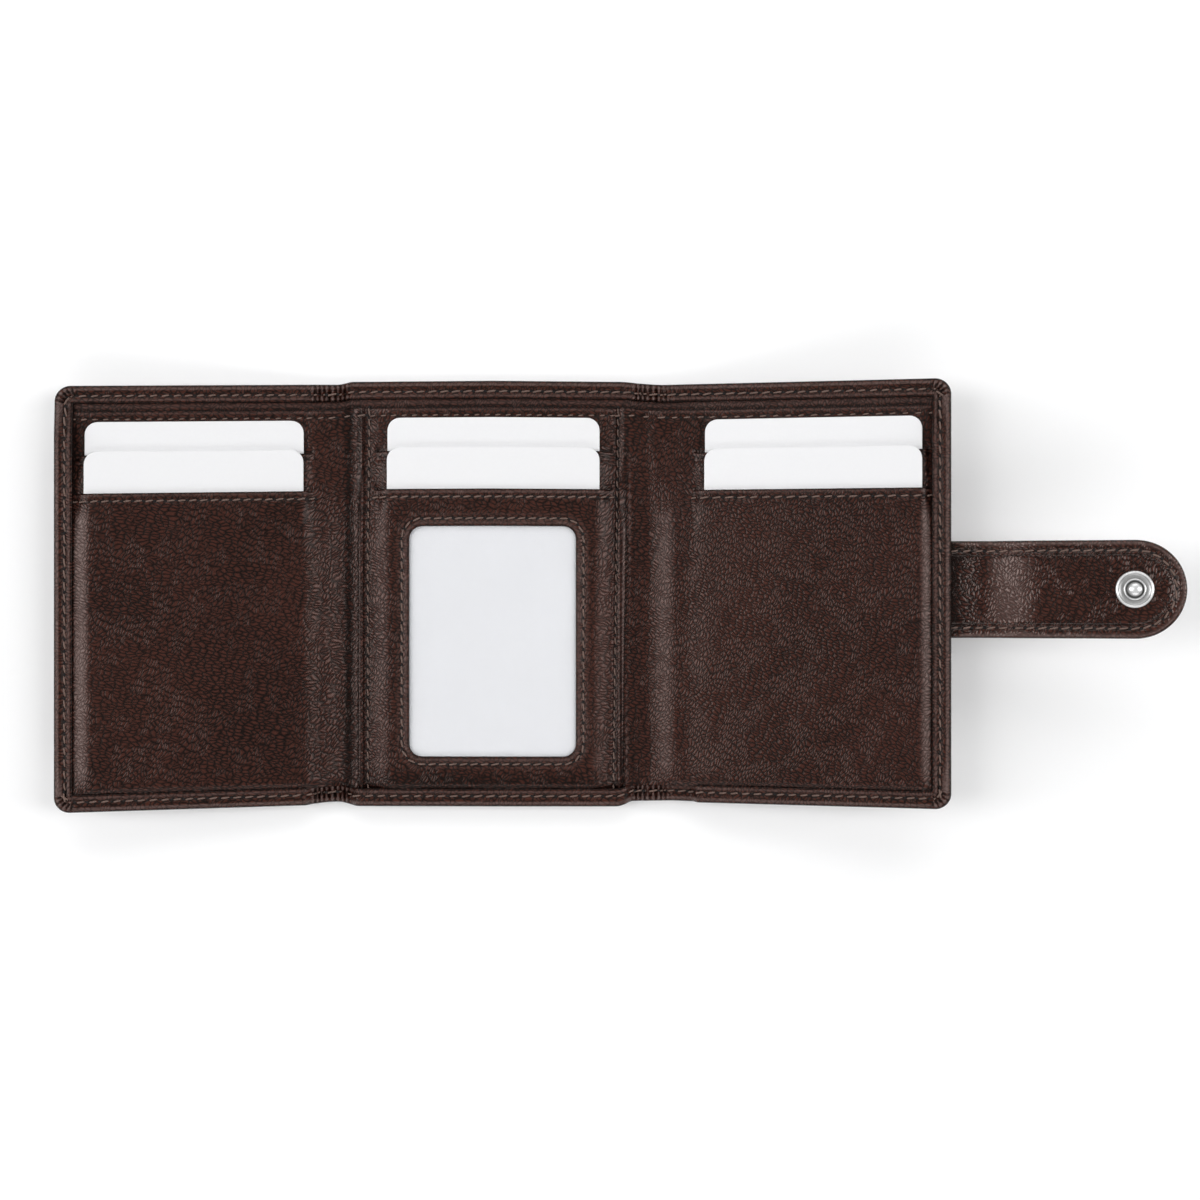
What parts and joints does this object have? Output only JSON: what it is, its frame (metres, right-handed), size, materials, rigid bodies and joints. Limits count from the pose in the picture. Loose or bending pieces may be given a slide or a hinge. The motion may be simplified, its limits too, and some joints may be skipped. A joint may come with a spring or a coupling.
{
  "type": "tri-fold card wallet",
  "caption": "Tri-fold leather wallet with slit card pockets on each panel, a clear identity window, a note compartment behind and a snap strap that wraps the closed wallet.",
  "frame": {"origin": "centre of the middle panel's outer face, which lies on the table", "axes": "+X towards the snap strap, +Y towards the open top edge of the note compartment, +Z out of the inner face with the cards"},
  "size_m": [0.2769, 0.1074, 0.0292],
  "materials": {
    "shell_leather": "dark brown grained leather, semi-matt",
    "inner_leather": "dark brown grained leather, satin",
    "note_lining": "dark brown lining cloth",
    "card": "blank white card, satin",
    "clear_vinyl": "clear soft vinyl",
    "snap_metal": "satin nickel plate"
  },
  "bodies": {
    "middle": {"middle_shell": "shell_leather", "middle_lining": "note_lining", "middle_top_hem": "shell_leather", "middle_bottom_edge": "shell_leather", "middle_pocket_back": "inner_leather", "middle_side_seams": "inner_leather", "middle_bottom_seam": "inner_leather", "middle_upper_pocket": "inner_leather", "middle_front_pocket": "inner_leather", "id_window": "clear_vinyl", "snap_socket": "snap_metal", "socket_washer": "snap_metal"},
    "left_spine": {"left_spine_shell": "shell_leather", "left_spine_lining": "note_lining", "left_spine_top_hem": "shell_leather", "left_spine_bottom_edge": "shell_leather", "left_spine_facing": "inner_leather"},
    "left_flap": {"left_shell": "shell_leather", "left_lining": "note_lining", "left_top_hem": "shell_leather", "left_side_edge": "shell_leather", "left_bottom_edge": "shell_leather", "left_pocket_back": "inner_leather", "left_side_seams": "inner_leather", "left_bottom_seam": "inner_leather", "left_upper_pocket": "inner_leather", "left_front_pocket": "inner_leather"},
    "right_spine": {"right_spine_shell": "shell_leather", "right_spine_lining": "note_lining", "right_spine_top_hem": "shell_leather", "right_spine_bottom_edge": "shell_leather", "right_spine_facing": "inner_leather"},
    "right_flap": {"right_shell": "shell_leather", "right_lining": "note_lining", "right_top_hem": "shell_leather", "right_side_edge": "shell_leather", "right_bottom_edge": "shell_leather", "right_pocket_back": "inner_leather", "right_side_seams": "inner_leather", "right_bottom_seam": "inner_leather", "right_upper_pocket": "inner_leather", "right_front_pocket": "inner_leather", "strap_base_outer": "shell_leather", "strap_base_inner": "shell_leather"},
    "strap_bend": {"strap_bend_outer": "shell_leather", "strap_bend_inner": "shell_leather"},
    "strap_end": {"strap_end_outer": "shell_leather", "strap_end_inner": "shell_leather", "snap_cap": "snap_metal", "snap_stud": "snap_metal"},
    "middle_back_card": {"middle_back_card": "card"},
    "middle_front_card": {"middle_front_card": "card"},
    "left_back_card": {"left_back_card": "card"},
    "left_front_card": {"left_front_card": "card"},
    "right_back_card": {"right_back_card": "card"},
    "right_front_card": {"right_front_card": "card"}
  },
  "joints": [
    {"name": "left_inner_fold", "type": "hinge", "parent": "middle", "child": "left_spine", "pos_m": [-0.03609, 0, 0.001], "axis": [0, 1, 0], "range_deg": [-3.5, 86.5], "stiffness_Nm_per_rad": 0.05, "springref_deg": 11.12},
    {"name": "left_outer_fold", "type": "hinge", "parent": "left_spine", "child": "left_flap", "pos_m": [-0.04527, 0, 0.00156], "axis": [0, 1, 0], "range_deg": [-3.5, 86.5], "stiffness_Nm_per_rad": 0.05, "springref_deg": 8.59},
    {"name": "right_inner_fold", "type": "hinge", "parent": "middle", "child": "right_spine", "pos_m": [0.03609, 0, 0.001], "axis": [0, -1, 0], "range_deg": [-6, 84], "stiffness_Nm_per_rad": 0.05, "springref_deg": 16.16},
    {"name": "right_outer_fold", "type": "hinge", "parent": "right_spine", "child": "right_flap", "pos_m": [0.05081, 0, 0.00255], "axis": [0, -1, 0], "range_deg": [-6, 84], "stiffness_Nm_per_rad": 0.05, "springref_deg": 11.57},
    {"name": "strap_base_fold", "type": "hinge", "parent": "right_flap", "child": "strap_bend", "pos_m": [0.12231, 0.0008, 0.01959], "axis": [0, -1, 0], "range_deg": [0, 90]},
    {"name": "strap_end_fold", "type": "hinge", "parent": "strap_bend", "child": "strap_end", "pos_m": [0.13669, 0.0008, 0.02264], "axis": [0, -1, 0], "range_deg": [0, 90]},
    {"name": "middle_back_card_slide", "type": "slide", "parent": "middle", "child": "middle_back_card", "axis": [0, 1, 0], "range_m": [0, 0.078]},
    {"name": "middle_front_card_slide", "type": "slide", "parent": "middle", "child": "middle_front_card", "axis": [0, 1, 0], "range_m": [0, 0.076]},
    {"name": "left_back_card_slide", "type": "slide", "parent": "left_flap", "child": "left_back_card", "axis": [0, 1, 0], "range_m": [0, 0.078]},
    {"name": "left_front_card_slide", "type": "slide", "parent": "left_flap", "child": "left_front_card", "axis": [0, 1, 0], "range_m": [0, 0.076]},
    {"name": "right_back_card_slide", "type": "slide", "parent": "right_flap", "child": "right_back_card", "axis": [0, 1, 0], "range_m": [0, 0.078]},
    {"name": "right_front_card_slide", "type": "slide", "parent": "right_flap", "child": "right_front_card", "axis": [0, 1, 0], "range_m": [0, 0.076]}
  ]
}
